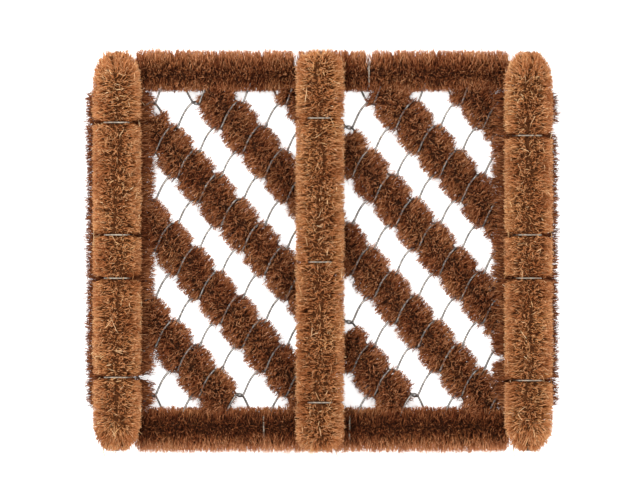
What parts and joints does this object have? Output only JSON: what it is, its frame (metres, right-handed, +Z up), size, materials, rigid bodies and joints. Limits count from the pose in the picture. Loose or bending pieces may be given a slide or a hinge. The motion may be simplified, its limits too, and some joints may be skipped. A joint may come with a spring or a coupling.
{
  "type": "door mat",
  "caption": "Boot-scraper door mat of twisted-wire coir brushes: diagonal brushes threaded through chain-link netting, a brush frame and raised scraper bars tied on top.",
  "frame": {"origin": "middle of the mat's footprint, on the floor it lies on", "axes": "+X along the long side, to the right as seen from above; +Y along the scraper bars, away from the user; +Z up"},
  "size_m": [0.4, 0.339, 0.0644],
  "materials": {
    "bar_coir": "matt, coarse golden-brown coir fibre",
    "diagonal_coir": "matt, coarse dark brown coir fibre",
    "frame_coir": "matt, coarse reddish-brown coir fibre",
    "netting_wire": "dull galvanised",
    "core_wire": "dull galvanised, twisted",
    "tie_wire": "dull galvanised"
  },
  "bodies": {
    "root": {"left_scraper_brush": "bar_coir", "left_scraper_core": "core_wire", "left_scraper_tie_1": "tie_wire", "left_scraper_tie_2": "tie_wire", "left_scraper_tie_3": "tie_wire", "left_scraper_tie_4": "tie_wire", "centre_scraper_brush": "bar_coir", "centre_scraper_core": "core_wire", "centre_scraper_tie_1": "tie_wire", "centre_scraper_tie_2": "tie_wire", "centre_scraper_tie_3": "tie_wire", "right_scraper_brush": "bar_coir", "right_scraper_core": "core_wire", "right_scraper_tie_1": "tie_wire", "right_scraper_tie_2": "tie_wire", "right_scraper_tie_3": "tie_wire", "right_scraper_tie_4": "tie_wire", "left_side_brush": "frame_coir", "left_side_core": "core_wire", "right_side_brush": "frame_coir", "right_side_core": "core_wire", "rear_border_brush": "frame_coir", "rear_border_core": "core_wire", "rear_border_tie_1": "tie_wire", "rear_border_tie_2": "tie_wire", "front_border_brush": "frame_coir", "front_border_core": "core_wire", "front_border_tie_1": "tie_wire", "front_border_tie_2": "tie_wire", "diagonal_1_brush": "diagonal_coir", "diagonal_1_core": "core_wire", "diagonal_2_brush": "diagonal_coir", "diagonal_2_core": "core_wire", "diagonal_3_brush": "diagonal_coir", "diagonal_3_core": "core_wire", "diagonal_4_brush": "diagonal_coir", "diagonal_4_core": "core_wire", "diagonal_5_brush": "diagonal_coir", "diagonal_5_core": "core_wire", "diagonal_6_brush": "diagonal_coir", "diagonal_6_core": "core_wire", "diagonal_7_brush": "diagonal_coir", "diagonal_7_core": "core_wire", "mesh_spiral_01": "netting_wire", "mesh_spiral_02": "netting_wire", "mesh_spiral_03": "netting_wire", "mesh_spiral_04": "netting_wire", "mesh_spiral_05": "netting_wire", "mesh_spiral_06": "netting_wire", "mesh_spiral_07": "netting_wire", "mesh_spiral_08": "netting_wire", "mesh_spiral_09": "netting_wire", "mesh_spiral_10": "netting_wire", "mesh_spiral_11": "netting_wire", "mesh_spiral_12": "netting_wire", "mesh_spiral_13": "netting_wire", "mesh_spiral_14": "netting_wire"}
  },
  "joints": []
}
